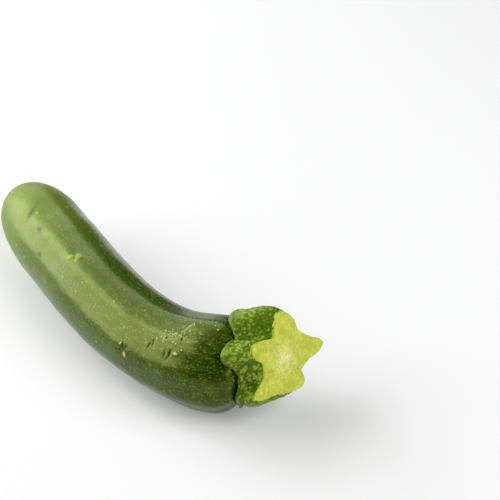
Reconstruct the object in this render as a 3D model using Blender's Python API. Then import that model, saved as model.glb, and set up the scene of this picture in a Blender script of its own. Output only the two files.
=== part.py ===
"""A courgette lying on its side: the long curved fruit and the cut stub of its stem.

Metres, +Z up. X runs along the fruit, from the blossom end (-X) to the stem (+X). The hollow side
of its curve faces +Y. The origin is on the surface that it lies on, under the middle of its box.
"""
import bmesh
import bpy
import numpy as np

# The fruit's middle line
LENGTH = 0.197
FIRST_HEADING = -12.7  # degrees from +X at the blossom end
BEND = 49.3  # degrees turned toward +Y by the stem end
BEND_START = 0.05  # as a share of the length, as are the next places
BEND_POWER = 3.43  # above 1, so most of the turn is near the stem
NECK_RISE = 0.003
NECK_START = 0.84

# The fruit's girth
RADIUS = 0.0211
WAIST = 0.0006
WAIST_PLACE, WAIST_REACH = 0.68, 0.16
SWELL = 0.0017
SWELL_PLACE, SWELL_REACH = 0.93, 0.10
RIBS = 10
RIB_DEPTH = 0.00035
RIB_START = 0.45

# The fruit's two ends
BLOSSOM_LENGTH = 0.0446
BLOSSOM_POWER = 2.35  # 2 is an ellipse, more is blunter
SCAR_DEPTH = 0.0010
SCAR_RADIUS = 0.0050
SHOULDER = 0.013
SHOULDER_POWER = 2.5
SEAT_RADIUS = 0.0105

# Where it lies: the flattened strip underneath
FLAT_DEPTH = 0.0004
FLAT_PLACE, FLAT_REACH = 0.56, 0.35

# The stem, in a frame of its own: degrees turned from the fruit's last heading, degrees tilted up
STEM_TURN = 4.0
STEM_TILT = 21.0
STEM_GAP = 0.0003
CUT_HEIGHT = 0.0187  # of the middle of the cut above the seat
CUT_SLOPE = 0.63  # the cut leans back by this much toward -Y
BULGE_POWER, BULGE_LATE = 0.7, 1.9  # below 1 is fuller; above 1 puts it nearer the rim
LOW_LOBE, LOW_LOBE_REACH, LOW_LOBE_EARLY = 118.0, 26.0, 1.4  # degrees, degrees, less late
RIM_ROUND = 0.0006
# The rim of the star-shaped cut: degrees from the top toward -Y, and its radius
RIM = (
    (2.0, 0.0126),
    (16.0, 0.0156),
    (23.0, 0.0186),
    (29.0, 0.0207),
    (34.0, 0.0212),
    (39.0, 0.0202),
    (46.0, 0.0168),
    (56.0, 0.0120),
    (80.0, 0.0116),
    (89.0, 0.0126),
    (95.0, 0.0190),
    (100.0, 0.0210),
    (114.0, 0.0192),
    (128.0, 0.0165),
    (142.0, 0.0155),
    (161.0, 0.0164),
    (188.0, 0.0202),
    (195.0, 0.0194),
    (202.0, 0.0134),
    (217.0, 0.0145),
    (226.0, 0.0164),
    (233.0, 0.0214),
    (241.0, 0.0235),
    (248.0, 0.0218),
    (257.0, 0.0174),
    (271.0, 0.0143),
    (286.0, 0.0132),
    (300.0, 0.0134),
    (328.0, 0.0199),
    (338.0, 0.0219),
    (346.0, 0.0212),
    (355.0, 0.0160),
)
# The toes: the same degrees, how far the toe reaches back from the seat, its thickness, how many
# degrees further round it is, and how far the side bulges out between the toe and the rim
TOES = (
    (4.0, 0.0034, 0.0018, 12.0, 0.0002),
    (18.0, 0.0055, 0.0030, 7.0, 0.0011),
    (28.0, 0.0060, 0.0036, 7.0, 0.0013),
    (38.0, 0.0060, 0.0038, 6.0, 0.0013),
    (47.0, 0.0048, 0.0030, 4.0, 0.0010),
    (56.0, 0.0020, 0.0018, 0.0, -0.0004),
    (68.0, 0.0007, 0.0014, -3.0, -0.0004),
    (82.0, 0.0004, 0.0018, 0.0, 0.0004),
    (95.0, 0.0010, 0.0026, 5.0, 0.0016),
    (108.0, 0.0009, 0.0024, 5.0, 0.0031),
    (125.0, 0.0006, 0.0024, 4.0, 0.0031),
    (145.0, 0.0010, 0.0020, 4.0, 0.0022),
    (188.0, 0.0030, 0.0026, 4.0, 0.0012),
    (205.0, 0.0026, 0.0018, 6.0, -0.0004),
    (240.0, 0.0070, 0.0034, 2.0, 0.0018),
    (284.0, 0.0050, 0.0022, -2.0, 0.0002),
    (315.0, 0.0078, 0.0034, -3.0, 0.0020),
    (333.0, 0.0087, 0.0038, -3.0, 0.0024),
    (343.0, 0.0092, 0.0040, 1.0, 0.0022),
    (350.0, 0.0080, 0.0034, 6.0, 0.0014),
    (357.0, 0.0050, 0.0022, 11.0, 0.0004),
)
SMOOTHED_OVER = 2.2  # degrees

FRUIT_SIDES, FRUIT_ROWS = 60, 46
STEM_SIDES, STEM_ROWS = 100, 30
SHARP_EDGE = 35.0  # degrees


def ease(value):
    """Smooth step from 0 to 1, flat at both ends."""
    value = np.clip(value, 0.0, 1.0)
    return value * value * (3.0 - 2.0 * value)


def heading(s):
    """The middle line's direction in radians, turning by a power of the way along."""
    way = np.clip((s / LENGTH - BEND_START) / (1.0 - BEND_START), 0.0, 1.0)
    return np.radians(FIRST_HEADING + BEND * way**BEND_POWER)


def body_radius(s):
    """The girth without ribs: a constant radius, less a broad waist, plus a swelling by the stem."""
    u = s / LENGTH
    waist = WAIST * np.exp(-(((u - WAIST_PLACE) / WAIST_REACH) ** 2))
    swell = SWELL * np.exp(-(((u - SWELL_PLACE) / SWELL_REACH) ** 2))
    return RADIUS - waist + swell


def middle(s):
    """A point of the middle line: the heading summed up, with the underside straight and level."""
    steps = np.linspace(0.0, LENGTH * 1.05, 1001)
    halfway = heading((steps[1:] + steps[:-1]) / 2.0)
    stride = steps[1]
    x = np.interp(s, steps, np.append(0.0, np.cumsum(np.cos(halfway) * stride)))
    y = np.interp(s, steps, np.append(0.0, np.cumsum(np.sin(halfway) * stride)))
    u = s / LENGTH
    lift = FLAT_DEPTH * ((u - FLAT_PLACE) / FLAT_REACH) ** 2
    rise = NECK_RISE * np.clip((u - NECK_START) / (1.0 - NECK_START), 0.0, None) ** 2
    z = body_radius(s) - FLAT_DEPTH + lift + rise
    return np.stack([x, y, z], axis=-1)


def around(s, radius, angle):
    """The point at this radius and angle (from the top toward -Y) round the middle line at s."""
    way = heading(s)
    near = np.stack([np.sin(way), -np.cos(way), np.zeros_like(way)], axis=-1)
    up = np.array([0.0, 0.0, 1.0])
    spoke = np.cos(angle)[..., None] * up + np.sin(angle)[..., None] * near
    return middle(s) + radius[..., None] * spoke


def ribbing(s, angle):
    """Shallow ribs as a share of their full depth, growing from mid-length toward the stem."""
    return ease((s / LENGTH - RIB_START) / (1.0 - RIB_START)) * np.cos(RIBS * angle)


def shoulder(turn, out=0.0):
    """The shoulder's (s, radius) for turn 0 to 1, side to seat, moved out square to the surface."""
    bend = np.clip(turn, 0.0, 1.0) * np.pi / 2.0
    power = 2.0 / SHOULDER_POWER
    s = LENGTH - SHOULDER + (SHOULDER + out) * np.sin(bend) ** power
    side = body_radius(np.minimum(s, LENGTH)) + out
    return s, SEAT_RADIUS + (side - SEAT_RADIUS) * np.cos(bend) ** power


def shaped_sphere(name, sides, rows, place, material):
    """A UV sphere whose points go where place(row share 0 to 1, angle) puts them."""
    mesh = bpy.data.meshes.new(name)
    work = bmesh.new()
    bmesh.ops.create_uvsphere(work, u_segments=sides, v_segments=rows, radius=1.0)
    ball = np.array([v.co[:] for v in work.verts])
    share = 1.0 - np.arccos(np.clip(ball[:, 2], -1.0, 1.0)) / np.pi
    angle = np.arctan2(ball[:, 1], ball[:, 0])
    for vert, point in zip(work.verts, place(share, angle)):
        vert.co = point
    work.to_mesh(mesh)
    work.free()
    mesh.shade_smooth()
    mesh.set_sharp_from_angle(angle=np.radians(SHARP_EDGE))
    mesh.materials.append(material)
    return bpy.data.objects.new(name, mesh)


def fruit_place(share, angle):
    """Blunt blossom end, ribbed side, rounded shoulder and flat seat, in that order of rows."""
    blossom_rows, shoulder_rows, seat_rows = 0.30, 0.76, 0.94
    turn = np.clip(share / blossom_rows, 0.0, 1.0) * np.pi / 2.0
    power = 2.0 / BLOSSOM_POWER
    s = BLOSSOM_LENGTH * (1.0 - np.cos(turn) ** power)
    radius = body_radius(s) * np.sin(turn) ** power
    s = s + SCAR_DEPTH * np.exp(-((radius / SCAR_RADIUS) ** 2))

    side = (share - blossom_rows) / (shoulder_rows - blossom_rows)
    side_s = BLOSSOM_LENGTH + (LENGTH - SHOULDER - BLOSSOM_LENGTH) * side
    on_side = share > blossom_rows
    s = np.where(on_side, side_s, s)
    radius = np.where(on_side, body_radius(side_s), radius)

    on_shoulder = share > shoulder_rows
    end_s, end_radius = shoulder((share - shoulder_rows) / (seat_rows - shoulder_rows))
    seat = np.clip((1.0 - share) / (1.0 - seat_rows), 0.0, 1.0)
    s = np.where(on_shoulder, end_s, s)
    radius = np.where(on_shoulder, end_radius * seat, radius)
    relief = RIB_DEPTH * ribbing(s, angle) * np.clip(radius / RADIUS, 0.0, 1.0)
    return around(s, radius + relief, angle)


def ring(stations, angle):
    """Values round the stem: straight lines between the stations, averaged over a few degrees."""
    table = np.array(stations)
    offsets = np.linspace(-2.0, 2.0, 9)
    weights = np.exp(-(offsets**2))
    total = 0.0
    for offset, weight in zip(offsets * SMOOTHED_OVER, weights / weights.sum()):
        turn = np.degrees(angle) + offset
        values = [np.interp(turn, table[:, 0], column, period=360.0) for column in table[:, 1:].T]
        total = total + weight * np.array(values)
    return total


def stem_frame():
    """The seat's middle and the stem's own axis, near side and top."""
    way = heading(np.array(LENGTH)) + np.radians(STEM_TURN)
    tilt = np.radians(STEM_TILT)
    axis = np.array([np.cos(way) * np.cos(tilt), np.sin(way) * np.cos(tilt), np.sin(tilt)])
    near = np.array([np.sin(way), -np.cos(way), 0.0])
    return middle(np.array(LENGTH)), axis, near, np.cross(near, axis)


def skin_turn(reach):
    """The shoulder's turn at this reach back from the seat's plane."""
    depth = np.clip(1.0 - reach / SHOULDER, 0.0, 1.0)
    return np.arcsin(depth ** (SHOULDER_POWER / 2.0)) / (np.pi / 2.0)


def on_skin(turn, out, angle):
    """A point over the fruit's shoulder at this turn, out from the skin."""
    s, radius = shoulder(turn, out)
    relief = RIB_DEPTH * ribbing(np.minimum(s, LENGTH), angle) * np.clip(radius / RADIUS, 0.0, 1.0)
    return around(s, radius + relief, angle)


def stem_place(share, angle):
    """Seat and toes on the fruit, the toes' round ends, ridged side and star-shaped cut, by row."""
    seat_rows, skin_rows, toe_rows, side_rows, rim_rows = 0.08, 0.30, 0.46, 0.72, 0.78
    (rim_radius,) = ring(RIM, angle)
    toe_reach, toe_thickness, toe_turn, side_bulge = ring(TOES, angle)
    toe_angle = angle + np.radians(toe_turn)
    root, axis, near, up = stem_frame()
    spoke = np.cos(angle)[:, None] * up + np.sin(angle)[:, None] * near
    half = toe_thickness / 2.0

    spread = np.clip((share - seat_rows) / (skin_rows - seat_rows), 0.0, 1.0)
    under_turn = 1.0 - (1.0 - skin_turn(toe_reach)) * spread
    under = on_skin(under_turn, np.full_like(share, STEM_GAP), toe_angle)
    hub = around(np.full_like(share, LENGTH + STEM_GAP), np.zeros_like(share), angle)
    seat = np.clip(share / seat_rows, 0.0, 1.0)[:, None]
    under = hub * (1.0 - seat) + under * seat

    roll = np.clip((share - skin_rows) / (toe_rows - skin_rows), 0.0, 1.0) * np.pi
    toe_end = skin_turn(toe_reach + half * np.sin(roll))
    toe = on_skin(toe_end, STEM_GAP + half * (1.0 - np.cos(roll)), toe_angle)

    side = np.clip((share - toe_rows) / (side_rows - toe_rows), 0.0, 1.0)[:, None]
    rim_height = CUT_HEIGHT - CUT_SLOPE * rim_radius * np.sin(angle)
    rim = root + (rim_radius - RIM_ROUND)[:, None] * spoke + rim_height[:, None] * axis
    below = root + rim_radius[:, None] * spoke + (rim_height - RIM_ROUND)[:, None] * axis
    low_lobe = np.exp(-(((np.degrees(angle) - LOW_LOBE) / LOW_LOBE_REACH) ** 2))[:, None]
    late = BULGE_LATE - LOW_LOBE_EARLY * low_lobe
    bulge = side_bulge[:, None] * np.sin(np.pi * side**late) ** BULGE_POWER
    top = on_skin(skin_turn(toe_reach), STEM_GAP + toe_thickness, toe_angle)
    wall = top * (1.0 - side) + below * side + bulge * spoke

    bevel = np.clip((share - side_rows) / (rim_rows - side_rows), 0.0, 1.0)[:, None]
    corner = below * (1.0 - bevel) + rim * bevel

    inward = np.clip((share - rim_rows) / (1.0 - rim_rows), 0.0, 1.0)[:, None]
    cut = rim * (1.0 - inward) + (root + CUT_HEIGHT * axis) * inward

    rows = share[:, None]
    return np.select(
        [rows <= skin_rows, rows <= toe_rows, rows <= side_rows, rows <= rim_rows],
        [under, toe, wall, corner],
        cut,
    )


def skin_material(name, colour, roughness):
    """A plain Principled material."""
    material = bpy.data.materials.new(name)
    material.use_nodes = True
    shader = material.node_tree.nodes["Principled BSDF"]
    shader.inputs["Base Color"].default_value = colour
    shader.inputs["Roughness"].default_value = roughness
    shader.inputs["Metallic"].default_value = 0.0
    return material


def flatten_underside(fruit, cutters):
    """Cuts the fruit level where it lies, with a box whose top face is at z = 0."""
    mesh = bpy.data.meshes.new("floor_cutter")
    work = bmesh.new()
    bmesh.ops.create_cube(work, size=1.0)
    bmesh.ops.translate(work, verts=work.verts, vec=(0.0, 0.0, -0.5))
    work.to_mesh(mesh)
    work.free()
    cutter = bpy.data.objects.new("floor_cutter", mesh)
    cutter.hide_render = True
    cutter.display_type = "WIRE"
    cutters.objects.link(cutter)
    cut = fruit.modifiers.new("lying_flat", "BOOLEAN")
    cut.operation = "DIFFERENCE"
    cut.solver = "EXACT"
    cut.object = cutter


def set_on_origin(pieces):
    """Moves the pieces together, so that the middle of their box is over the origin."""
    corners = np.array([v.co[:] for piece in pieces for v in piece.data.vertices])
    low, high = corners.min(axis=0), corners.max(axis=0)
    for piece in pieces:
        piece.location = (-(low[0] + high[0]) / 2.0, -(low[1] + high[1]) / 2.0, 0.0)


def build():
    """Makes the fruit and its stem."""
    for old in list(bpy.data.objects):
        bpy.data.objects.remove(old)
    model = bpy.data.collections.new("courgette")
    cutters = bpy.data.collections.new("cutters")
    bpy.context.scene.collection.children.link(model)
    bpy.context.scene.collection.children.link(cutters)

    green = skin_material("fruit_skin", (0.075, 0.130, 0.020, 1.0), 0.35)
    stalk = skin_material("stem_green", (0.330, 0.450, 0.060, 1.0), 0.60)
    fruit = shaped_sphere("fruit", FRUIT_SIDES, FRUIT_ROWS, fruit_place, green)
    stem = shaped_sphere("stem", STEM_SIDES, STEM_ROWS, stem_place, stalk)
    for piece in (fruit, stem):
        model.objects.link(piece)
    set_on_origin((fruit, stem))
    flatten_underside(fruit, cutters)


build()
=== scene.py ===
import math

import bpy
import numpy as np
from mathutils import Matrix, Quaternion, Vector


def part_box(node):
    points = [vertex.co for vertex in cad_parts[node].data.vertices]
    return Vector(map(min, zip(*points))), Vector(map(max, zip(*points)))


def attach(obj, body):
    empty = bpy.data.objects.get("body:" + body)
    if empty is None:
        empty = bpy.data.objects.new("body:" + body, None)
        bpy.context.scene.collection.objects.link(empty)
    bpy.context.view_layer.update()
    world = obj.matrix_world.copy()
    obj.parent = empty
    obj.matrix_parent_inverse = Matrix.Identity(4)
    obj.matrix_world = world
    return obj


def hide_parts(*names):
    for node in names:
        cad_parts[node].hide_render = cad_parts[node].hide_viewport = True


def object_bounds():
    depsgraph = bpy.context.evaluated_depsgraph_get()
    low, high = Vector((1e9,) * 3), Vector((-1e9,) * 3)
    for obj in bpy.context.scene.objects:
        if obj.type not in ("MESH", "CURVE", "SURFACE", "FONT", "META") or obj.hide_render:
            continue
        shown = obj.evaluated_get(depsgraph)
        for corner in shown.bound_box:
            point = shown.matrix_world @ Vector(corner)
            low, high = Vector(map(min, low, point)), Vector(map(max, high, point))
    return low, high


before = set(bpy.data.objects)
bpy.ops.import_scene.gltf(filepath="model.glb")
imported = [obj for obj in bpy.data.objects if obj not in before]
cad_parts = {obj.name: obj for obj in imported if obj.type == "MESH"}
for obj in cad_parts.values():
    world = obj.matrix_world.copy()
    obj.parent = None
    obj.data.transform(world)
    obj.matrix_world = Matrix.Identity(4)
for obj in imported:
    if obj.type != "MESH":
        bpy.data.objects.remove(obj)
cad_low, cad_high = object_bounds()

# The fruit's skin
# A zucchini is one fleshy berry in a thin, tough, waxy skin, dark green with pale flecks. It grew in a
# bow and lies on its side, so it is a round section carried along a bent line, blunt at the end where
# the blossom sat, and faintly ribbed toward the stem.
LENGTH = 0.197
FIRST_HEADING = -12.7
BEND = 49.3
BEND_START = 0.05
BEND_POWER = 3.43
NECK_RISE = 0.003
NECK_START = 0.84
RADIUS = 0.0211
WAIST = 0.0006
WAIST_PLACE, WAIST_REACH = 0.68, 0.16
SWELL = 0.0017
SWELL_PLACE, SWELL_REACH = 0.93, 0.10
RIBS = 10
RIB_DEPTH = 0.00035
RIB_START = 0.45
BLOSSOM_LENGTH = 0.0446
BLOSSOM_POWER = 2.35
TIP_DEPTH = 0.0010
TIP_RADIUS = 0.0050
SHOULDER = 0.013
SHOULDER_POWER = 2.5
SEAT_RADIUS = 0.0105
FLAT_DEPTH = 0.0004
FLAT_PLACE, FLAT_REACH = 0.56, 0.35
SKIN_ROWS, SKIN_SIDES = 330, 296
NICKS_FROM, NICKS_TO, NICKS_SIDE, NICKS_CLOSER = 0.140, 0.178, 45.0, 0.55


def ease(value):
    """Smooth step from 0 to 1: the value squared times three less twice the value."""
    value = np.clip(value, 0.0, 1.0)
    return value * value * (3.0 - 2.0 * value)


def heading(s):
    """The middle line's direction: its first heading plus the bend times a power of the way along."""
    way = np.clip((s / LENGTH - BEND_START) / (1.0 - BEND_START), 0.0, 1.0)
    return np.radians(FIRST_HEADING + BEND * way**BEND_POWER)


def body_radius(s):
    """The girth: one radius, less a broad bell at the waist, plus a narrower bell at the swelling."""
    u = s / LENGTH
    waist = WAIST * np.exp(-(((u - WAIST_PLACE) / WAIST_REACH) ** 2))
    swell = SWELL * np.exp(-(((u - SWELL_PLACE) / SWELL_REACH) ** 2))
    return RADIUS - waist + swell


def middle(s):
    """The middle line: the sum of the headings' cosines and sines, high enough to rest on the floor."""
    steps = np.linspace(0.0, LENGTH * 1.05, 1001)
    halfway = heading((steps[1:] + steps[:-1]) / 2.0)
    x = np.interp(s, steps, np.append(0.0, np.cumsum(np.cos(halfway) * steps[1])))
    y = np.interp(s, steps, np.append(0.0, np.cumsum(np.sin(halfway) * steps[1])))
    u = s / LENGTH
    lift = FLAT_DEPTH * ((u - FLAT_PLACE) / FLAT_REACH) ** 2
    rise = NECK_RISE * np.clip((u - NECK_START) / (1.0 - NECK_START), 0.0, None) ** 2
    return np.stack([x, y, body_radius(s) - FLAT_DEPTH + lift + rise], axis=-1)


def around(s, radius, angle):
    """The middle line's point at s, plus the radius along a spoke turned from the top toward -Y."""
    way = heading(s)
    near = np.stack([np.sin(way), -np.cos(way), np.zeros_like(way)], axis=-1)
    spoke = np.cos(angle)[..., None] * np.array([0.0, 0.0, 1.0]) + np.sin(angle)[..., None] * near
    return middle(s) + np.asarray(radius)[..., None] * spoke


def ribbing(s, angle):
    """Ribs as a cosine round the fruit, growing from nothing before the tip to full by the stem."""
    return ease((s / LENGTH - RIB_START) / (1.0 - RIB_START)) * np.cos(RIBS * angle)


def shoulder(turn, out=0.0):
    """The rounded end by the stem: a quarter of a superellipse from the side to the seat's edge."""
    bend = np.clip(turn, 0.0, 1.0) * np.pi / 2.0
    power = 2.0 / SHOULDER_POWER
    s = LENGTH - SHOULDER + (SHOULDER + out) * np.sin(bend) ** power
    side = body_radius(np.minimum(s, LENGTH)) + out
    return s, SEAT_RADIUS + (side - SEAT_RADIUS) * np.cos(bend) ** power


def skin_line(share):
    """The skin's (s, radius) from tip to seat: a superellipse, the long side, the shoulder, the seat."""
    blossom_rows, shoulder_rows, seat_rows = 0.24, 0.85, 0.97
    bend = np.clip(share / blossom_rows, 0.0, 1.0) * np.pi / 2.0
    power = 2.0 / BLOSSOM_POWER
    s = BLOSSOM_LENGTH * (1.0 - np.cos(bend) ** power)
    radius = body_radius(s) * np.sin(bend) ** power
    s = s + TIP_DEPTH * np.exp(-((radius / TIP_RADIUS) ** 2))
    side = (share - blossom_rows) / (shoulder_rows - blossom_rows)
    side_ends = (BLOSSOM_LENGTH, NICKS_FROM, NICKS_TO, LENGTH - SHOULDER)
    # Half of the side's rows run where the nicks are
    side_s = np.interp(side, (0.0, 0.45, 0.95, 1.0), side_ends)
    end_s, end_radius = shoulder((share - shoulder_rows) / (seat_rows - shoulder_rows))
    seat = np.clip((1.0 - share) / (1.0 - seat_rows), 0.0, 1.0)
    s = np.where(share > blossom_rows, side_s, s)
    radius = np.where(share > blossom_rows, body_radius(side_s), radius)
    s = np.where(share > shoulder_rows, end_s, s)
    return s, np.where(share > shoulder_rows, end_radius * seat, radius)


def grid(rows, sides):
    """Two arrays, rows by sides: the share of the way from 0 to 1, and the angle round from 0 to a turn."""
    share = np.repeat(np.linspace(0.0, 1.0, rows)[:, None], sides, axis=1)
    angle = np.repeat(np.linspace(0.0, 2.0 * np.pi, sides, endpoint=False)[None, :], rows, axis=0)
    return share, angle


def outward(points):
    """Unit normals of a closed grid: the cross product of its steps round and its steps along."""
    along = np.gradient(points, axis=0)
    round_it = np.roll(points, -1, axis=1) - np.roll(points, 1, axis=1)
    normal = np.cross(round_it, along)
    normal[0] = normal[1].mean(axis=0)
    normal[-1] = normal[-2].mean(axis=0)
    return normal / (np.linalg.norm(normal, axis=-1, keepdims=True) + 1e-15)


def ripple(points, wavelength, seed):
    """Smooth random relief, mostly -2 to 2: 24 cosine waves of one length, random in way and phase."""
    dice = np.random.default_rng(seed)
    ways = dice.normal(size=(24, 3))
    ways /= np.linalg.norm(ways, axis=1)[:, None]
    total = np.zeros(points.shape[:-1])
    for way in ways:
        total += np.cos(points @ way * (2.0 * np.pi / wavelength) + dice.uniform(0.0, 2.0 * np.pi))
    return total / np.sqrt(12.0)


def inside_box(points):
    """The same points, held to the box that the two plain solids fill."""
    return np.clip(points, np.array(cad_low), np.array(cad_high))


def in_a_row(values):
    """A grid's values in the order of its mesh: the first pole, the rows between, the last pole."""
    return np.concatenate([values[0, :1], values[1:-1].reshape(-1, *values.shape[2:]), values[-1, :1]])


def placed(name, data):
    """A new object that shows this mesh, light or camera."""
    thing = bpy.data.objects.new(name, data)
    bpy.context.scene.collection.objects.link(thing)
    return thing


def closed_surface(name, points, marks, material):
    """A closed mesh from a grid: one pole at each end, a square between each four neighbours."""
    rows, sides = points.shape[:2]
    co = in_a_row(points)
    here = np.arange(sides)
    after = np.roll(here, -1)
    start = 1 + sides * np.arange(rows - 3)[:, None]
    squares = np.stack([start + here, start + after, start + sides + after, start + sides + here], -1)
    last = 1 + sides * (rows - 3)
    first_fan = np.stack([np.zeros_like(here), 1 + after, 1 + here], -1)
    last_fan = np.stack([last + here, last + after, np.full_like(here, len(co) - 1)], -1)
    mesh = bpy.data.meshes.new(name)
    faces = squares.reshape(-1, 4).tolist() + first_fan.tolist() + last_fan.tolist()
    mesh.from_pydata(co.tolist(), [], faces)
    for label, values in marks.items():
        kind, key = ("FLOAT_VECTOR", "vector") if values.ndim == 3 else ("FLOAT", "value")
        flat = in_a_row(values).astype(np.float32).ravel()
        mesh.attributes.new(label, kind, "POINT").data.foreach_set(key, flat)
    mesh.shade_smooth()
    mesh.materials.append(material)
    return placed(name, mesh)


def dab(along, side, length, width, lean):
    """An oval mark on the skin: a bell curve of the distance from (along, side), leaning by degrees."""
    forth = skin_s - along
    over = RADIUS * (np.mod(skin_angle - np.radians(side) + np.pi, 2.0 * np.pi) - np.pi)
    lean = np.radians(lean)
    first = (forth * np.cos(lean) + over * np.sin(lean)) / length
    second = (over * np.cos(lean) - forth * np.sin(lean)) / width
    return np.exp(-(first**2 + second**2))


# The columns too are closer where the nicks are
skin_share, skin_angle = grid(SKIN_ROWS, SKIN_SIDES)
skin_angle = skin_angle - NICKS_CLOSER * np.sin(skin_angle - np.radians(NICKS_SIDE))
skin_s, skin_radius = skin_line(skin_share)
smooth_skin = around(
    skin_s,
    skin_radius + RIB_DEPTH * ribbing(skin_s, skin_angle) * np.clip(skin_radius / RADIUS, 0.0, 1.0),
    skin_angle,
)
fruit_low, fruit_high = (np.array(corner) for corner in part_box("fruit"))
own_middle = (smooth_skin.min(axis=(0, 1)) + smooth_skin.max(axis=(0, 1))) / 2.0
PLACE = np.array([*((fruit_low + fruit_high) / 2.0 - own_middle)[:2], 0.0])
smooth_skin = smooth_skin + PLACE

# Nicks that healed dark, bruises, the cork beside the nicks, three fresh warts, and a patch of fine
# scratches, each with its way along, degrees round, half length, half width, and lean off lengthwise
NICKS = (
    (0.1432, 76.0, 0.0009, 0.0006, 50.0),
    (0.1462, 67.0, 0.0026, 0.0005, 68.0),
    (0.1480, 67.0, 0.0011, 0.0006, 80.0),
    (0.1455, 73.0, 0.0010, 0.0009, 60.0),
    (0.1585, 51.0, 0.0020, 0.0004, 105.0),
    (0.1602, 47.0, 0.0016, 0.0004, 95.0),
    (0.1597, 42.5, 0.0007, 0.0004, 20.0),
    (0.1670, 54.0, 0.0018, 0.0004, 84.0),
    (0.1694, 51.0, 0.0019, 0.0005, 92.0),
    (0.1684, 58.0, 0.0008, 0.0004, 80.0),
    (0.1652, 33.0, 0.0006, 0.0004, 80.0),
    (0.1722, 30.0, 0.0007, 0.0004, 60.0),
)
BRUISES = (
    (0.0699, 55.0, 0.0018, 0.0014, 20.0),
    (0.0425, 27.0, 0.0044, 0.0016, 60.0),
    (0.0575, 33.0, 0.0026, 0.0014, 10.0),
    (0.0862, 19.0, 0.0016, 0.0012, 30.0),
)
CORK = (
    (0.1478, 77.0, 0.0014, 0.0008, 75.0),
    (0.1444, 66.0, 0.0014, 0.0003, 120.0),
    (0.1716, 48.5, 0.0009, 0.0008, 0.0),
    (0.1703, 37.0, 0.0004, 0.0003, 0.0),
    (0.1740, 43.0, 0.0004, 0.0004, 0.0),
    (0.1850, 8.0, 0.0006, 0.0004, 40.0),
)
WARTS = (
    (0.0884, 26.0, 0.0017, 0.0015, 0.0),
    (0.0889, 22.5, 0.0010, 0.0007, 0.0),
    (0.0914, 15.5, 0.0021, 0.0017, 20.0),
)
SCRATCHES = 90
SCRATCHES_PLACE, SCRATCHES_SPREAD = 0.1690, 0.0050
SCRATCHES_SIDE, SCRATCHES_SIDE_SPREAD = 25.0, 8.0
SCRATCHES_SLANT = 1500.0
SCRATCH_WIDTH = 0.0002
WAVE_HEIGHT, RIPPLE_HEIGHT = 0.00014, 0.00003
NICK_DEPTH, CORK_HEIGHT, WART_HEIGHT, SCRATCH_HEIGHT = 0.00030, 0.00015, 0.00036, 0.00006
SKIN_SUNK = 0.0002

nick = sum(dab(*place) for place in NICKS)
bruise = sum(dab(*place) for place in BRUISES)
cork = sum(dab(*place) for place in CORK)
fresh = sum(dab(*place) for place in WARTS)
dice = np.random.default_rng(5)
scratch = 1.2 * dab(0.1715, 12.0, 0.0036, 0.00022, -68.0)
for _ in range(SCRATCHES):
    along = dice.normal(SCRATCHES_PLACE, SCRATCHES_SPREAD)
    side = dice.normal(SCRATCHES_SIDE - (along - SCRATCHES_PLACE) * SCRATCHES_SLANT, SCRATCHES_SIDE_SPREAD)
    strength = dice.uniform(0.4, 1.2)
    length = dice.uniform(0.0002, 0.0007)
    scratch += strength * dab(along, side, length, SCRATCH_WIDTH, dice.normal(70.0, 45.0))
relief = WAVE_HEIGHT * ripple(smooth_skin, 0.034, 1) + RIPPLE_HEIGHT * ripple(smooth_skin, 0.011, 2)
relief = relief - NICK_DEPTH * np.clip(nick, 0.0, 1.0) + CORK_HEIGHT * cork + WART_HEIGHT * fresh
relief = relief + SCRATCH_HEIGHT * scratch - SKIN_SUNK
skin_points = smooth_skin + relief[..., None] * outward(smooth_skin)
skin_points[..., 2] = np.maximum(skin_points[..., 2], 0.0)
skin_points = inside_box(skin_points)


def node(tree, kind, inputs=(), **settings):
    """Adds a node of this kind and fills its inputs, by name or number, with values or other outputs."""
    new = tree.nodes.new(kind)
    for name, value in settings.items():
        setattr(new, name, value)
    for name, value in dict(inputs).items():
        if isinstance(value, bpy.types.NodeSocket):
            tree.links.new(value, new.inputs[name])
        else:
            new.inputs[name].default_value = value
    return new


def between(tree, share, first, second):
    """The colour that lies this share of the way from the first to the second."""
    return node(tree, "ShaderNodeMix", {0: share, 6: first, 7: second}, data_type="RGBA").outputs[2]


def times(tree, first, second):
    """The product, kept between 0 and 1."""
    pair = {0: first, 1: second}
    return node(tree, "ShaderNodeMath", pair, operation="MULTIPLY", use_clamp=True).outputs[0]


def plus(tree, first, second):
    """The sum, kept between 0 and 1."""
    pair = {0: first, 1: second}
    return node(tree, "ShaderNodeMath", pair, operation="ADD", use_clamp=True).outputs[0]


def rising(tree, value, low, high):
    """0 below low, 1 above high, and smooth between."""
    span = {"Value": value, "From Min": low, "From Max": high}
    return node(tree, "ShaderNodeMapRange", span, interpolation_type="SMOOTHSTEP").outputs[0]


def scaled(tree, value, low, high):
    """A value from 0 to 1 laid out from low to high."""
    return node(tree, "ShaderNodeMapRange", {"Value": value, "To Min": low, "To Max": high}).outputs[0]


def noise(tree, vector, scale, detail):
    """Soft random patches from 0 to 1, about this many to the metre."""
    return node(tree, "ShaderNodeTexNoise", {"Vector": vector, "Scale": scale, "Detail": detail}).outputs[0]


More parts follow.
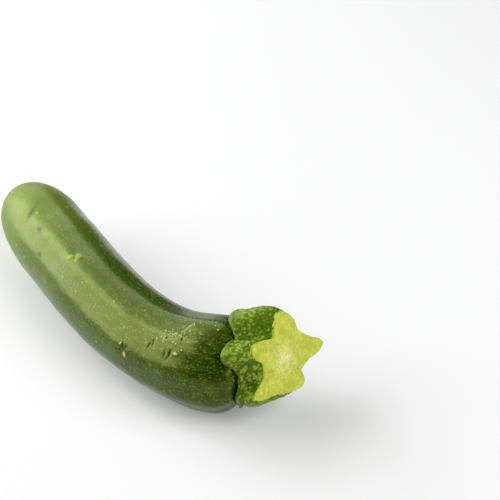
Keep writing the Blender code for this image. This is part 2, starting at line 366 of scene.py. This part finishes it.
def flecks_group():
    """Round flecks of mixed size: 1 at each cell's own point, fading to 0 at that cell's own radius."""
    tree = bpy.data.node_groups.new("flecks", "ShaderNodeTree")
    tree.interface.new_socket("Vector", in_out="INPUT", socket_type="NodeSocketVector")
    tree.interface.new_socket("Spacing", in_out="INPUT", socket_type="NodeSocketFloat")
    tree.interface.new_socket("Size", in_out="INPUT", socket_type="NodeSocketFloat")
    tree.interface.new_socket("Fleck", in_out="OUTPUT", socket_type="NodeSocketFloat")
    given = tree.nodes.new("NodeGroupInput")
    scale = node(tree, "ShaderNodeMath", {0: 1.0, 1: given.outputs["Spacing"]}, operation="DIVIDE")
    spaced = {"Vector": given.outputs["Vector"], "Scale": scale.outputs[0]}
    cells = node(tree, "ShaderNodeTexVoronoi", spaced)
    parts = node(tree, "ShaderNodeSeparateColor", {0: cells.outputs["Color"]})
    reach = times(tree, given.outputs["Size"], parts.outputs[0])
    inner = times(tree, reach, 0.35)
    fade = {
        "Value": cells.outputs["Distance"],
        "From Min": inner,
        "From Max": reach,
        "To Min": 1.0,
        "To Max": 0.0,
    }
    spot = node(tree, "ShaderNodeMapRange", fade, interpolation_type="SMOOTHSTEP")
    result = tree.nodes.new("NodeGroupOutput")
    tree.links.new(spot.outputs[0], result.inputs["Fleck"])
    return tree


def flecks(tree, vector, spacing, size):
    """The flecks group placed in a material."""
    new = node(tree, "ShaderNodeGroup", node_tree=flecks_tree)
    tree.links.new(vector, new.inputs["Vector"])
    new.inputs["Spacing"].default_value = spacing
    new.inputs["Size"].default_value = size
    return new.outputs["Fleck"]


def mark(tree, name, output="Fac"):
    """A value or vector that the mesh carries at each point."""
    return node(tree, "ShaderNodeAttribute", attribute_name=name).outputs[output]


def ragged(tree, name, crumb):
    """A mark with a ragged edge: it rises from 0 to 1 as the mark plus half the crumb nears 0.8."""
    worn = plus(tree, mark(tree, name), times(tree, crumb, 0.5))
    return rising(tree, worn, 0.55, 0.80)


def plain_material(name):
    """A material with only its Principled shader, and that shader and its tree."""
    material = bpy.data.materials.new(name)
    material.use_nodes = True
    return material, material.node_tree, material.node_tree.nodes["Principled BSDF"]


def dress(tree, shader, colour, rough, height, strength, depth):
    """Feeds the shader its colour, its roughness, and a bump of this strength and depth."""
    tree.links.new(colour, shader.inputs["Base Color"])
    tree.links.new(rough, shader.inputs["Roughness"])
    bump = node(tree, "ShaderNodeBump", {"Strength": strength, "Distance": depth, "Height": height})
    tree.links.new(bump.outputs[0], shader.inputs["Normal"])


flecks_tree = flecks_group()
BLOSSOM_GREEN = (0.104, 0.178, 0.001, 1.0)
SIDE_GREEN = (0.025, 0.054, 0.001, 1.0)
NECK_GREEN = (0.011, 0.027, 0.001, 1.0)
CLOUD_GREEN = (0.036, 0.074, 0.002, 1.0)
FLECK_GREEN = (0.170, 0.260, 0.008, 1.0)
SPOT_GREEN = (0.340, 0.460, 0.015, 1.0)
NICK_GREEN = (0.010, 0.018, 0.005, 1.0)
BRUISE_GREEN = (0.010, 0.040, 0.001, 1.0)
SCRATCH_PALE = (0.420, 0.440, 0.170, 1.0)
CORK_TAN = (0.520, 0.430, 0.150, 1.0)
WART_GREEN = (0.230, 0.370, 0.002, 1.0)
SKIN_SHEEN = (0.930, 1.000, 0.220, 1.0)

skin_material, tree, shader = plain_material("zucchini_skin")
along = mark(tree, "along")
straight = mark(tree, "straight", "Vector")
grain = noise(tree, straight, 900.0, 4.0)

# The ground is palest at the blossom end and darkest at the neck, with soft clouds and fine fibres
green = between(tree, rising(tree, along, 0.00, 0.62), BLOSSOM_GREEN, SIDE_GREEN)
green = between(tree, rising(tree, along, 0.62, 0.93), green, NECK_GREEN)
cloud = noise(tree, straight, 70.0, 3.0)
green = between(tree, times(tree, rising(tree, cloud, 0.35, 0.75), 0.45), green, CLOUD_GREEN)
drawn = node(tree, "ShaderNodeMapping", {"Vector": straight, "Scale": (1.0, 1.0, 0.35)}).outputs[0]
fibre = noise(tree, drawn, 700.0, 3.0)
green = between(tree, times(tree, rising(tree, fibre, 0.42, 0.78), 0.22), green, FLECK_GREEN)

# Flecks of three sizes, of which the larger fade out toward the stem, and short dashes on the neck
fine = flecks(tree, straight, 0.0010, 0.50)
middling = flecks(tree, straight, 0.0026, 0.26)
spots = flecks(tree, straight, 0.0050, 0.22)
dashes = flecks(tree, drawn, 0.0008, 0.48)
green = between(tree, times(tree, fine, 0.75), green, FLECK_GREEN)
fading = scaled(tree, along, 1.0, 0.20)
fewer = plus(tree, times(tree, fading, 0.6), 0.25)
green = between(tree, times(tree, middling, fewer), green, FLECK_GREEN)
green = between(tree, times(tree, spots, fading), green, SPOT_GREEN)
on_neck = times(tree, rising(tree, along, 0.80, 0.92), 0.55)
green = between(tree, times(tree, dashes, on_neck), green, FLECK_GREEN)

# The marks lie over the flecks
green = between(tree, times(tree, ragged(tree, "scratch", grain), 0.75), green, SCRATCH_PALE)
green = between(tree, times(tree, ragged(tree, "nick", grain), 0.85), green, NICK_GREEN)
bruised = mark(tree, "bruise")
green = between(tree, times(tree, bruised, 0.65), green, BRUISE_GREEN)
green = between(tree, ragged(tree, "cork", grain), green, CORK_TAN)
warts = rising(tree, mark(tree, "fresh"), 0.15, 0.95)
green = between(tree, warts, green, WART_GREEN)

# The wax is duller toward the tip and on bruises and warts
rough = scaled(tree, grain, 0.14, 0.34)
dull_tip = {"Value": along, "From Max": 0.30, "To Min": 0.30, "To Max": 0.0}
rough = plus(tree, rough, node(tree, "ShaderNodeMapRange", dull_tip).outputs[0])
rough = plus(tree, rough, times(tree, plus(tree, bruised, warts), 0.3))
height = plus(tree, times(tree, grain, 0.6), times(tree, fine, 0.3))
dress(tree, shader, green, rough, height, 0.35, 0.0002)
shader.inputs["Specular Tint"].default_value = SKIN_SHEEN

# The skin as if the fruit were straight, so that the flecks aren't squeezed in the bend
straight_points = np.stack(
    [skin_radius * np.cos(skin_angle), skin_radius * np.sin(skin_angle), skin_s],
    axis=-1,
)
skin_marks = {
    "along": skin_s / LENGTH,
    "straight": straight_points,
    "nick": nick,
    "bruise": bruise,
    "cork": cork,
    "fresh": fresh,
    "scratch": scratch,
}
skin = closed_surface("fruit_skin", skin_points, skin_marks, skin_material)
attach(skin, "root")
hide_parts("fruit")

# The stem
# The stub of the stalk that fed the fruit: five fleshy ridges that flare into toes over the fruit's end,
# rough with pale warts, and cut across with a knife, so that the moist pale inside shows as a star.
STEM_TURN = 4.0
STEM_TILT = 21.0
STEM_GAP = 0.0003
CUT_HEIGHT = 0.0187
CUT_SLOPE = 0.63
RIM_ROUND = 0.0006
# The sides bulge out late on the way to the rim, but early on the lobe near the floor, which lies at
# this many degrees and reaches over this many
BULGE_POWER, BULGE_LATE = 0.7, 1.9
LOW_LOBE, LOW_LOBE_REACH, LOW_LOBE_EARLY = 118.0, 26.0, 1.4
# The cut's rim: degrees from the top toward -Y, and its distance from the stem's own axis
RIM = (
    (2.0, 0.0126),
    (16.0, 0.0156),
    (23.0, 0.0186),
    (29.0, 0.0207),
    (34.0, 0.0212),
    (39.0, 0.0202),
    (46.0, 0.0168),
    (56.0, 0.0120),
    (80.0, 0.0116),
    (89.0, 0.0126),
    (95.0, 0.0190),
    (100.0, 0.0210),
    (114.0, 0.0192),
    (128.0, 0.0165),
    (142.0, 0.0155),
    (161.0, 0.0164),
    (188.0, 0.0202),
    (195.0, 0.0194),
    (202.0, 0.0134),
    (217.0, 0.0145),
    (226.0, 0.0164),
    (233.0, 0.0214),
    (241.0, 0.0235),
    (248.0, 0.0218),
    (257.0, 0.0174),
    (271.0, 0.0143),
    (286.0, 0.0132),
    (300.0, 0.0134),
    (328.0, 0.0199),
    (338.0, 0.0219),
    (346.0, 0.0212),
    (355.0, 0.0160),
)
# The toes: the same degrees, how far the toe reaches back from the seat, its thickness, how many degrees
# further round it is, and how far the side bulges out between the toe and the rim
TOES = (
    (4.0, 0.0034, 0.0018, 12.0, 0.0002),
    (18.0, 0.0055, 0.0030, 7.0, 0.0011),
    (28.0, 0.0060, 0.0036, 7.0, 0.0013),
    (38.0, 0.0060, 0.0038, 6.0, 0.0013),
    (47.0, 0.0048, 0.0030, 4.0, 0.0010),
    (56.0, 0.0020, 0.0018, 0.0, -0.0004),
    (68.0, 0.0007, 0.0014, -3.0, -0.0004),
    (82.0, 0.0004, 0.0018, 0.0, 0.0004),
    (95.0, 0.0010, 0.0026, 5.0, 0.0016),
    (108.0, 0.0009, 0.0024, 5.0, 0.0031),
    (125.0, 0.0006, 0.0024, 4.0, 0.0031),
    (145.0, 0.0010, 0.0020, 4.0, 0.0022),
    (188.0, 0.0030, 0.0026, 4.0, 0.0012),
    (205.0, 0.0026, 0.0018, 6.0, -0.0004),
    (240.0, 0.0070, 0.0034, 2.0, 0.0018),
    (284.0, 0.0050, 0.0022, -2.0, 0.0002),
    (315.0, 0.0078, 0.0034, -3.0, 0.0020),
    (333.0, 0.0087, 0.0038, -3.0, 0.0024),
    (343.0, 0.0092, 0.0040, 1.0, 0.0022),
    (350.0, 0.0080, 0.0034, 6.0, 0.0014),
    (357.0, 0.0050, 0.0022, 11.0, 0.0004),
)
SMOOTHED_OVER = 2.2
STEM_ROWS, STEM_SIDES = 220, 400
SEAT_ROWS, SKIN_SHARE, TOE_ROWS, SIDE_ROWS, RIM_ROWS = 0.02, 0.06, 0.20, 0.66, 0.71


def ring(stations, angle):
    """Values round the stem: straight lines between the stations, averaged over a few degrees."""
    table = np.array(stations)
    offsets = np.linspace(-2.0, 2.0, 9)
    weights = np.exp(-(offsets**2))
    total = 0.0
    for offset, weight in zip(offsets * SMOOTHED_OVER, weights / weights.sum()):
        turn = np.degrees(angle) + offset
        values = [np.interp(turn, table[:, 0], column, period=360.0) for column in table[:, 1:].T]
        total = total + weight * np.array(values)
    return total


def skin_turn(reach):
    """The shoulder's turn at this reach back from the seat's plane: the superellipse undone."""
    depth = np.clip(1.0 - reach / SHOULDER, 0.0, 1.0)
    return np.arcsin(depth ** (SHOULDER_POWER / 2.0)) / (np.pi / 2.0)


def on_skin(turn, out, angle):
    """A point over the fruit's shoulder at this turn, lifted out from the skin."""
    s, radius = shoulder(turn, out)
    relief = RIB_DEPTH * ribbing(np.minimum(s, LENGTH), angle) * np.clip(radius / RADIUS, 0.0, 1.0)
    return around(s, radius + relief, angle)


def stem_place(share, angle):
    """Seat and toes on the fruit, each toe's round end, the ridged side bulging by a sine, the cut."""
    (rim_radius,) = ring(RIM, angle)
    toe_reach, toe_thickness, toe_turn, side_bulge = ring(TOES, angle)
    toe_angle = angle + np.radians(toe_turn)
    root = middle(np.array(LENGTH))
    spoke = np.cos(angle)[..., None] * stem_up + np.sin(angle)[..., None] * stem_near
    half = toe_thickness / 2.0

    spread = np.clip((share - SEAT_ROWS) / (SKIN_SHARE - SEAT_ROWS), 0.0, 1.0)
    under = on_skin(1.0 - (1.0 - skin_turn(toe_reach)) * spread, STEM_GAP, toe_angle)
    hub = around(np.full_like(share, LENGTH + STEM_GAP), np.zeros_like(share), angle)
    seat = np.clip(share / SEAT_ROWS, 0.0, 1.0)[..., None]
    under = hub * (1.0 - seat) + under * seat

    roll = np.clip((share - SKIN_SHARE) / (TOE_ROWS - SKIN_SHARE), 0.0, 1.0) * np.pi
    toe_end = skin_turn(toe_reach + half * np.sin(roll))
    toe = on_skin(toe_end, STEM_GAP + half * (1.0 - np.cos(roll)), toe_angle)

    side = np.clip((share - TOE_ROWS) / (SIDE_ROWS - TOE_ROWS), 0.0, 1.0)[..., None]
    rim_height = CUT_HEIGHT - CUT_SLOPE * rim_radius * np.sin(angle)
    rim = root + (rim_radius - RIM_ROUND)[..., None] * spoke + rim_height[..., None] * stem_axis
    below = root + rim_radius[..., None] * spoke + (rim_height - RIM_ROUND)[..., None] * stem_axis
    low_lobe = np.exp(-(((np.degrees(angle) - LOW_LOBE) / LOW_LOBE_REACH) ** 2))[..., None]
    late = BULGE_LATE - LOW_LOBE_EARLY * low_lobe
    bulge = side_bulge[..., None] * np.sin(np.pi * side**late) ** BULGE_POWER
    top = on_skin(skin_turn(toe_reach), STEM_GAP + toe_thickness, toe_angle)
    wall = top * (1.0 - side) + below * side + bulge * spoke

    bevel = np.clip((share - SIDE_ROWS) / (RIM_ROWS - SIDE_ROWS), 0.0, 1.0)[..., None]
    corner = below * (1.0 - bevel) + rim * bevel
    inward = np.clip((share - RIM_ROWS) / (1.0 - RIM_ROWS), 0.0, 1.0)[..., None]
    cut = rim * (1.0 - inward) + (root + CUT_HEIGHT * stem_axis) * inward
    rows = share[..., None]
    steps = [rows <= SKIN_SHARE, rows <= TOE_ROWS, rows <= SIDE_ROWS, rows <= RIM_ROWS]
    return np.select(steps, [under, toe, wall, corner], cut) + PLACE


stem_way = heading(np.array(LENGTH)) + np.radians(STEM_TURN)
stem_tilt = np.radians(STEM_TILT)
stem_axis = np.array(
    [np.cos(stem_way) * np.cos(stem_tilt), np.sin(stem_way) * np.cos(stem_tilt), np.sin(stem_tilt)]
)
stem_near = np.array([np.sin(stem_way), -np.cos(stem_way), 0.0])
stem_up = np.cross(stem_near, stem_axis)

stem_share, stem_angle = grid(STEM_ROWS, STEM_SIDES)
smooth_stem = stem_place(stem_share, stem_angle)
stem_rim = ring(RIM, stem_angle)[0]
rise = np.clip((stem_share - TOE_ROWS) / (SIDE_ROWS - TOE_ROWS), 0.0, 1.0)
on_side = ease((stem_share - SKIN_SHARE) / 0.05) * (1.0 - ease((stem_share - SIDE_ROWS) / 0.03))
on_cut = ease((stem_share - SIDE_ROWS - 0.02) / (RIM_ROWS - SIDE_ROWS))

# Each wart is a bell-shaped bump, longer along the stem than across it
WARTS_ON_STEM = 520
dice = np.random.default_rng(11)
wart_share = dice.uniform(TOE_ROWS - 0.02, SIDE_ROWS - 0.03, WARTS_ON_STEM)
wart_angle = dice.uniform(0.0, 2.0 * np.pi, WARTS_ON_STEM)
wart_size = dice.uniform(0.0003, 0.0007, WARTS_ON_STEM)
wart = np.zeros_like(stem_share)
for centre, size in zip(stem_place(wart_share, wart_angle), wart_size):
    gap = smooth_stem - centre
    lengthwise = gap @ stem_axis
    across = (gap**2).sum(axis=-1) - lengthwise**2
    wart = np.maximum(wart, np.exp(-across / size**2 - (lengthwise / (size * 1.6)) ** 2))
wart = wart * on_side

# The side's relief is lumps, warts and one thin ridge between two lobes, and the cut's is torn flesh
WART_RISE, RIDGE_RISE = 0.00028, 0.0011
THIN_RIDGE, THIN_RIDGE_REACH = 78.0, 4.0
SIDE_SUNK, CUT_SUNK = 0.00040, 0.0001
lump = 0.00010 * ripple(smooth_stem, 0.0075, 21) + 0.00005 * ripple(smooth_stem, 0.0022, 22)
flesh = 0.00010 * ripple(smooth_stem, 0.0042, 23) + 0.00006 * ripple(smooth_stem, 0.0013, 24)
thin_ridge = np.exp(-(((np.degrees(stem_angle) - THIN_RIDGE) / THIN_RIDGE_REACH) ** 2))
thin_ridge = thin_ridge * np.sin(np.pi * rise) ** 0.5
side_relief = lump + WART_RISE * wart + RIDGE_RISE * thin_ridge - SIDE_SUNK
relief = on_side * side_relief + on_cut * (flesh - CUT_SUNK)
stem_points = inside_box(smooth_stem + relief[..., None] * outward(smooth_stem))

GROOVE_GREEN = (0.028, 0.080, 0.001, 1.0)
RIDGE_GREEN = (0.085, 0.145, 0.004, 1.0)
BRIGHT_GREEN = (0.052, 0.138, 0.001, 1.0)
WART_PALE = (0.350, 0.440, 0.060, 1.0)
CUT_GREEN = (0.570, 0.595, 0.070, 1.0)
CUT_PALE = (0.820, 0.820, 0.370, 1.0)
CUT_DEEP = (0.430, 0.490, 0.038, 1.0)
CUT_EDGE = (0.480, 0.570, 0.060, 1.0)
STEM_SHEEN = (0.750, 1.000, 0.100, 1.0)

stem_material, tree, shader = plain_material("zucchini_stem")
here = node(tree, "ShaderNodeTexCoord").outputs["Object"]
crest = rising(tree, mark(tree, "crest"), 0.1, 0.9)
side_green = between(tree, crest, GROOVE_GREEN, RIDGE_GREEN)
drawn = mark(tree, "drawn", "Vector")
grain = noise(tree, here, 900.0, 4.0)
streak = noise(tree, drawn, 700.0, 3.0)

# The sides are dark in the grooves, lighter on the ridges, brightest and streaky near the cut, and warty
near_cut = rising(tree, mark(tree, "rise"), 0.30, 0.95)
side_green = between(tree, times(tree, near_cut, 0.8), side_green, BRIGHT_GREEN)
far_from_cut = scaled(tree, near_cut, 0.38, 0.20)
blotches = times(tree, rising(tree, grain, 0.46, 0.76), far_from_cut)
side_green = between(tree, blotches, side_green, WART_PALE)
stem_flecks = flecks(tree, here, 0.0013, 0.60)
side_green = between(tree, times(tree, stem_flecks, 0.75), side_green, WART_PALE)
streaky = times(tree, rising(tree, streak, 0.45, 0.70), near_cut)
side_green = between(tree, streaky, side_green, GROOVE_GREEN)
warty = times(tree, rising(tree, mark(tree, "wart"), 0.15, 0.75), 0.60)
side_green = between(tree, warty, side_green, WART_PALE)

# The cut is pale and blotchy, palest at its heart, and frays into the sides
patch = noise(tree, here, 240.0, 3.0)
inside = between(tree, rising(tree, patch, 0.38, 0.66), CUT_DEEP, CUT_GREEN)
inside = between(tree, times(tree, rising(tree, grain, 0.50, 0.72), 0.45), inside, CUT_PALE)
grainy = plus(tree, times(tree, rising(tree, grain, 0.40, 0.62), 0.6), 0.35)
juicy = times(tree, mark(tree, "heart"), grainy)
inside = between(tree, juicy, inside, CUT_PALE)
inside = between(tree, times(tree, mark(tree, "edge"), 0.3), inside, CUT_EDGE)
frayed = times(tree, rising(tree, streak, 0.30, 0.70), 0.60)
cut_share = rising(tree, plus(tree, mark(tree, "cut"), frayed), 0.72, 0.92)
stem_green = between(tree, cut_share, side_green, inside)
height = plus(tree, times(tree, grain, 0.7), times(tree, stem_flecks, 0.3))
dress(tree, shader, stem_green, scaled(tree, grain, 0.36, 0.60), height, 0.5, 0.0004)
shader.inputs["Specular Tint"].default_value = STEM_SHEEN

# The pale heart of the cut is an oval round the stem's axis, and its edge is a thin green line. Streaks
# run lengthwise, because their noise is read from points that are squeezed along the axis.
from_axis = smooth_stem - (middle(np.array(LENGTH)) + CUT_HEIGHT * stem_axis + PLACE)
GROOVE_RADIUS, CREST_HEIGHT = 0.0115, 0.0100
HEART_UP, HEART_OVER = 0.0060, 0.0050
EDGE_WIDTH = 0.0006
up_cut, over_cut, out_cut = from_axis @ stem_up, from_axis @ stem_near, from_axis @ stem_axis
inward = np.clip((stem_share - RIM_ROWS) / (1.0 - RIM_ROWS), 0.0, 1.0) * stem_rim
stem_marks = {
    "crest": np.clip((stem_rim - GROOVE_RADIUS) / CREST_HEIGHT, 0.0, 1.0),
    "rise": rise,
    "wart": wart,
    "cut": ease((stem_share - SIDE_ROWS + 0.03) / 0.05),
    "drawn": np.stack([up_cut, over_cut, 0.2 * out_cut], axis=-1),
    "heart": np.exp(-((up_cut / HEART_UP) ** 2) - (over_cut / HEART_OVER) ** 2),
    "edge": np.exp(-inward / EDGE_WIDTH),
}
stem = closed_surface("stem_stub", stem_points, stem_marks, stem_material)
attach(stem, "root")
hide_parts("stem")

# The fine hairs
# Young skin and stem are downy. A few dry bristles are left on the neck and round the stem, each a
# thin tapered spike that stands out of the skin and droops.
HAIR_RINGS, HAIR_SIDES = 5, 4
HAIR_ROOT = 0.0001
NECK_HAIRS, STEM_HAIRS = 110, 170
SHORT_HAIRS = NECK_HAIRS + STEM_HAIRS
SHORT_HAIR_GIRTH = 0.00004
# Two longer ones: the way along, degrees round, length, half the thickness, and how far it droops
LONG_HAIRS = (
    (0.1578, -23.0, 0.0040, 0.00012, 0.2),
    (0.1696, -16.0, 0.0036, 0.00014, -0.4),
)


def skin_spot(along, side):
    """The row and column of the skin's point with the least sum of distance along and turn round."""
    turned = np.abs(np.sin((skin_angle - np.radians(side)) / 2.0))
    distance = np.abs(skin_s - along) / 0.001 + turned * 100.0
    return np.unravel_index(np.argmin(distance), distance.shape)


def spikes(roots, ways, sizes, girths, leans):
    """Tapered closed spikes: rings that shrink and drift sideways by the square of the way along."""
    across = np.cross(ways, np.array([0.31, 0.22, 0.92]))
    across /= np.linalg.norm(across, axis=1)[:, None]
    other = np.cross(ways, across)
    way = np.linspace(0.0, 1.0, HAIR_RINGS)[None, :, None]
    centre = roots[:, None] - HAIR_ROOT * ways[:, None] + sizes[:, None, None] * way * ways[:, None]
    centre = centre + (sizes * leans)[:, None, None] * way**2 * across[:, None]
    turn = np.arange(HAIR_SIDES) * 2.0 * np.pi / HAIR_SIDES
    spoke = np.cos(turn)[None, :, None] * across[:, None] + np.sin(turn)[None, :, None] * other[:, None]
    thickness = girths[:, None, None] * (1.0 - 0.85 * way)
    rings = centre[:, :, None] + thickness[..., None] * spoke[:, None]
    here = np.arange(HAIR_SIDES)
    after = np.roll(here, -1)
    start = HAIR_SIDES * np.arange(HAIR_RINGS - 1)[:, None]
    corners = [start + here, start + after, start + after + HAIR_SIDES, start + here + HAIR_SIDES]
    last = here + (HAIR_RINGS - 1) * HAIR_SIDES
    faces = np.concatenate([np.stack(corners, -1).reshape(-1, 4), [here[::-1]], [last]])
    shift = np.arange(len(roots))[:, None, None] * HAIR_RINGS * HAIR_SIDES
    return rings.reshape(-1, 3), (faces[None] + shift).reshape(-1, 4)


dice = np.random.default_rng(17)
neck_rows = np.flatnonzero((skin_s[:, 0] > 0.150) & (skin_s[:, 0] < 0.1945))
side_rows = np.flatnonzero(
    (stem_share[:, 0] > SKIN_SHARE + 0.05) & (stem_share[:, 0] < SIDE_ROWS - 0.01)
)
neck_spots = dice.choice(neck_rows, NECK_HAIRS), dice.integers(0, SKIN_SIDES, NECK_HAIRS)
stem_spots = dice.choice(side_rows, STEM_HAIRS), dice.integers(0, STEM_SIDES, STEM_HAIRS)
long_spots = tuple(np.array([skin_spot(along, side) for along, side, *_ in LONG_HAIRS]).T)
skin_out, stem_out = outward(skin_points), outward(stem_points)
hair_roots = np.concatenate([skin_points[neck_spots], stem_points[stem_spots], skin_points[long_spots]])
hair_ways = np.concatenate([skin_out[neck_spots], stem_out[stem_spots], skin_out[long_spots]])
long_length, long_girth, long_lean = np.array(LONG_HAIRS)[:, 2:].T
hair_length = np.append(dice.uniform(0.0005, 0.0014, SHORT_HAIRS), long_length)
hair_girth = np.append(np.full(SHORT_HAIRS, SHORT_HAIR_GIRTH), long_girth)
hair_lean = np.append(dice.normal(0.0, 0.5, SHORT_HAIRS), long_lean)
hair_co, hair_faces = spikes(hair_roots, hair_ways, hair_length, hair_girth, hair_lean)

HAIR_DARK = (0.300, 0.360, 0.110, 1.0)
HAIR_PALE = (0.560, 0.580, 0.290, 1.0)
hair_mesh = bpy.data.meshes.new("fine_hairs")
hair_mesh.from_pydata(inside_box(hair_co).tolist(), [], hair_faces.tolist())
hair_material, tree, shader = plain_material("dry_hair")
here = node(tree, "ShaderNodeTexCoord").outputs["Object"]
tone = noise(tree, here, 300.0, 2.0)
hair_colour = between(tree, rising(tree, tone, 0.35, 0.65), HAIR_DARK, HAIR_PALE)
tree.links.new(hair_colour, shader.inputs["Base Color"])
shader.inputs["Roughness"].default_value = 0.6
hair_mesh.materials.append(hair_material)
hairs = placed("fine_hairs", hair_mesh)
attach(hairs, "root")

# The blossom scar
# Where the flower dropped off, the tip healed over with a round of dry cork, a ring round a small nub.
SCAR_RADIUS = 0.0045
SCAR_FACE, SCAR_BACK = 0.00075, 0.00112
SCAR_EDGE, SCAR_EDGE_DEPTH = 0.92, 0.0003
RING_PLACE, RING_WIDTH, RING_HEIGHT = 0.72, 0.14, 0.00022
NUB_WIDTH, NUB_HEIGHT = 0.28, 0.00030
CRUMB_HEIGHT = 0.00004
SCAR_ROWS, SCAR_SIDES = 60, 120
CORK_DARK = (0.170, 0.120, 0.045, 1.0)
CORK_PALE = (0.420, 0.350, 0.170, 1.0)

scar_share, scar_angle = grid(SCAR_ROWS, SCAR_SIDES)
from_middle = np.sin(np.pi * scar_share)
raised_ring = RING_HEIGHT * np.exp(-(((from_middle - RING_PLACE) / RING_WIDTH) ** 2))
nub = NUB_HEIGHT * np.exp(-((from_middle / NUB_WIDTH) ** 2))
crumbs = CRUMB_HEIGHT * np.cos(11.0 * scar_angle + 3.0 * np.sin(2.0 * scar_angle)) * from_middle
scar_s = np.where(scar_share > 0.5, SCAR_BACK, SCAR_FACE - raised_ring - nub - crumbs)
rounded = SCAR_FACE + (from_middle - SCAR_EDGE) / (1.0 - SCAR_EDGE) * SCAR_EDGE_DEPTH
scar_s = np.where(from_middle > SCAR_EDGE, rounded, scar_s)
tip = middle(np.array(0.0)) + PLACE
first_way = heading(np.array(0.0))
forward = np.array([np.cos(first_way), np.sin(first_way), 0.0])
tip_near = np.array([np.sin(first_way), -np.cos(first_way), 0.0])
tip_up = np.array([0.0, 0.0, 1.0])
tip_spoke = np.cos(scar_angle)[..., None] * tip_up + np.sin(scar_angle)[..., None] * tip_near
scar_radius = SCAR_RADIUS * from_middle * (1.0 + 0.03 * np.cos(5.0 * scar_angle + 1.0))
scar_points = tip + scar_radius[..., None] * tip_spoke + scar_s[..., None] * forward

scar_material, tree, shader = plain_material("blossom_cork")
here = node(tree, "ShaderNodeTexCoord").outputs["Object"]
crumb = noise(tree, here, 900.0, 5.0)
cork_colour = between(tree, rising(tree, crumb, 0.35, 0.70), CORK_DARK, CORK_PALE)
dress(tree, shader, cork_colour, scaled(tree, crumb, 0.7, 0.95), crumb, 0.6, 0.0003)
scar = closed_surface("blossom_scar", inside_box(scar_points), {}, scar_material)
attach(scar, "root")

# The floor
# A plain white table that the fruit lies on, lit a little from below, as for a catalogue picture.
FLOOR_REACH = 4.0
FLOOR_WHITE = (0.660, 0.660, 0.660, 1.0)
FLOOR_GLOW = 0.18
floor_mesh = bpy.data.meshes.new("floor")
corners = [(x * FLOOR_REACH, y * FLOOR_REACH, 0.0) for x, y in ((-1, -1), (1, -1), (1, 1), (-1, 1))]
floor_mesh.from_pydata(corners, [], [(0, 1, 2, 3)])
floor = placed("floor", floor_mesh)
floor_material, tree, shader = plain_material("white_table")
shader.inputs["Base Color"].default_value = FLOOR_WHITE
shader.inputs["Roughness"].default_value = 0.9
shader.inputs["Specular IOR Level"].default_value = 0.0
shader.inputs["Emission Color"].default_value = (1.0, 1.0, 1.0, 1.0)
shader.inputs["Emission Strength"].default_value = FLOOR_GLOW
floor_mesh.materials.append(floor_material)

# The lights
# Two big soft boxes stand beyond the blossom end; their mirror image is the pale sheen along the fruit. A
# smaller one on the stem's side fills the shadows, and the room adds a little light from all round.
AIM = Vector((0.0, 0.0, 0.02))


def stand(thing, target, azimuth, elevation, distance, roll=0.0):
    """Puts a lamp or camera this many degrees round and up from its target, and turns it to face it."""
    a, e = math.radians(azimuth), math.radians(elevation)
    back = Vector((math.sin(a) * math.cos(e), -math.cos(a) * math.cos(e), math.sin(e)))
    own_roll = Quaternion((0.0, 0.0, 1.0), math.radians(roll))
    thing.location = target + back * distance
    thing.rotation_mode = "QUATERNION"
    thing.rotation_quaternion = (-back).to_track_quat("-Z", "Y") @ own_roll


def soft_box(name, azimuth, elevation, distance, width, height, radiance, roll=0.0):
    """A rectangular light that faces the fruit, as bright as this many times a white sheet."""
    light = bpy.data.lights.new(name, "AREA")
    light.shape = "RECTANGLE"
    light.size = width
    light.size_y = height
    light.energy = radiance * math.pi * width * height
    stand(placed(name, light), AIM, azimuth, elevation, distance, roll)


soft_box("main_soft_box", -56.0, 21.0, 1.3, 1.50, 1.62, 4.7, -20.0)
soft_box("second_soft_box", -102.5, 31.0, 1.3, 1.20, 1.16, 2.1)
soft_box("fill_soft_box", 108.0, 38.0, 1.2, 0.90, 0.90, 4.4)

world = bpy.data.worlds.new("studio")
bpy.context.scene.world = world
world.use_nodes = True
background = world.node_tree.nodes["Background"]
background.inputs["Color"].default_value = (0.9, 0.95, 1.0, 1.0)
background.inputs["Strength"].default_value = 0.06

# The camera
# It looks down at the fruit from beyond the stem, 76 centimetres away.
CAMERA_AZIMUTH, CAMERA_ELEVATION, CAMERA_DISTANCE = 48.0, 35.0, 0.76
LOOKS_AT = Vector((-0.007875, 0.087096, 0.0))
camera = placed("camera", bpy.data.cameras.new("camera"))
camera.data.lens = 101.33
camera.data.sensor_width = 36.0
camera.data.clip_start = 0.01
stand(camera, LOOKS_AT, CAMERA_AZIMUTH, CAMERA_ELEVATION, CAMERA_DISTANCE)
bpy.context.scene.camera = camera
bpy.context.scene.view_settings.view_transform = "Standard"
